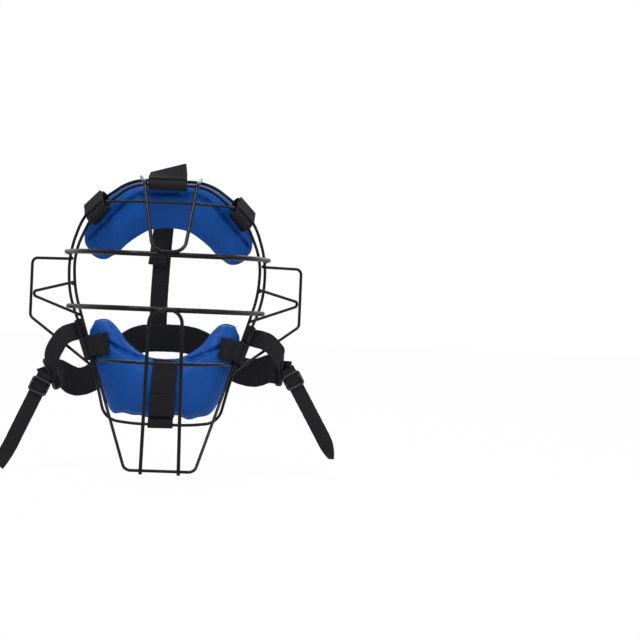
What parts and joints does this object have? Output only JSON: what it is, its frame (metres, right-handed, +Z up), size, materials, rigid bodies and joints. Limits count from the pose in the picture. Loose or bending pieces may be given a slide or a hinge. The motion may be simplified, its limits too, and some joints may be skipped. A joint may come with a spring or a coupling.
{
  "type": "sports face guard",
  "caption": "Wire cage face guard with blue forehead and chin pads, hook-and-loop pad straps, side ear guards, a throat guard and an elastic head harness.",
  "frame": {"origin": "middle of the face opening, level with the lower eye bar, in front of the wearer's eyes", "axes": "+Z up the face, -Y out of the front of the cage, +X to the right as seen from the front"},
  "size_m": [0.3551, 0.1731, 0.3034],
  "materials": {
    "coated_wire": "gloss black coating on steel wire",
    "coated_bar": "gloss black coating on thick steel wire",
    "pad_vinyl": "semi-gloss blue coated cloth",
    "pad_foam": "open-cell foam",
    "loop_tape": "brushed loop tape",
    "hook_tape": "hook tape",
    "webbing": "woven polyester webbing",
    "elastic": "ribbed woven elastic",
    "buckle_plastic": "moulded black plastic"
  },
  "bodies": {
    "root": {"back_band": "elastic", "brow_bar": "coated_bar", "chin_pad_cover": "pad_vinyl", "chin_pad_foam": "pad_foam", "chin_strap": "loop_tape", "crown_strap": "webbing", "crown_strap_fold": "webbing", "forehead_bar": "coated_wire", "forehead_guard_wire": "coated_wire", "forehead_pad_cover": "pad_vinyl", "forehead_pad_foam": "pad_foam", "front_rim": "coated_wire", "left_band_ring": "buckle_plastic", "left_cheek_strap": "loop_tape", "left_ear_brace": "coated_wire", "left_ear_guard": "coated_wire", "left_forehead_strap": "loop_tape", "left_side_web": "webbing", "left_web_loop": "webbing", "lower_eye_bar": "coated_bar", "mouth_bar": "coated_wire", "rear_rim": "coated_wire", "right_band_ring": "buckle_plastic", "right_cheek_strap": "loop_tape", "right_ear_brace": "coated_wire", "right_ear_guard": "coated_wire", "right_forehead_strap": "loop_tape", "right_side_web": "webbing", "right_web_loop": "webbing", "throat_guard_wire": "coated_wire", "top_strap": "loop_tape"},
    "left_forehead_strap_flap": {"left_forehead_strap_flap": "hook_tape"},
    "right_forehead_strap_flap": {"right_forehead_strap_flap": "hook_tape"},
    "left_cheek_strap_flap": {"left_cheek_strap_flap": "hook_tape"},
    "right_cheek_strap_flap": {"right_cheek_strap_flap": "hook_tape"},
    "top_strap_flap": {"top_strap_flap": "hook_tape"},
    "chin_strap_flap": {"chin_strap_flap": "hook_tape"},
    "left_tail": {"left_tail": "webbing"},
    "left_slider": {"left_slider": "buckle_plastic"},
    "right_tail": {"right_tail": "webbing"},
    "right_slider": {"right_slider": "buckle_plastic"}
  },
  "joints": [
    {"name": "left_forehead_strap_flap_peel", "type": "hinge", "parent": "root", "child": "left_forehead_strap_flap", "pos_m": [-0.07548, -0.01187, 0.0968], "axis": [0.6829, -0.3256, 0.6539], "range_deg": [0, 100]},
    {"name": "right_forehead_strap_flap_peel", "type": "hinge", "parent": "root", "child": "right_forehead_strap_flap", "pos_m": [0.07548, -0.01187, 0.0968], "axis": [0.6829, 0.3256, -0.6539], "range_deg": [0, 100]},
    {"name": "left_cheek_strap_flap_peel", "type": "hinge", "parent": "root", "child": "left_cheek_strap_flap", "pos_m": [-0.07787, 0.00121, -0.04014], "axis": [-0.332, 0.2295, 0.9149], "range_deg": [0, 100]},
    {"name": "right_cheek_strap_flap_peel", "type": "hinge", "parent": "root", "child": "right_cheek_strap_flap", "pos_m": [0.07787, 0.00121, -0.04014], "axis": [-0.332, -0.2295, -0.9149], "range_deg": [0, 100]},
    {"name": "top_strap_flap_peel", "type": "hinge", "parent": "root", "child": "top_strap_flap", "pos_m": [0, -0.02596, 0.12788], "axis": [1, 0, 0], "range_deg": [0, 100]},
    {"name": "chin_strap_flap_peel", "type": "hinge", "parent": "root", "child": "chin_strap_flap", "pos_m": [0, -0.004, -0.1058], "axis": [1, 0, 0], "range_deg": [0, 90]},
    {"name": "left_tail_swing", "type": "hinge", "parent": "root", "child": "left_tail", "pos_m": [-0.122, 0.03613, -0.07447], "axis": [0.9134, 0, -0.407], "range_deg": [-60, 0]},
    {"name": "left_slider_slide", "type": "slide", "parent": "left_tail", "child": "left_slider", "axis": [-0.407, 0, -0.9134], "range_m": [0, 0.045]},
    {"name": "right_tail_swing", "type": "hinge", "parent": "root", "child": "right_tail", "pos_m": [0.12963, 0.03605, -0.05945], "axis": [0.866, 0, 0.5], "range_deg": [-60, 0]},
    {"name": "right_slider_slide", "type": "slide", "parent": "right_tail", "child": "right_slider", "axis": [0.5, 0, -0.866], "range_m": [0, 0.045]}
  ]
}
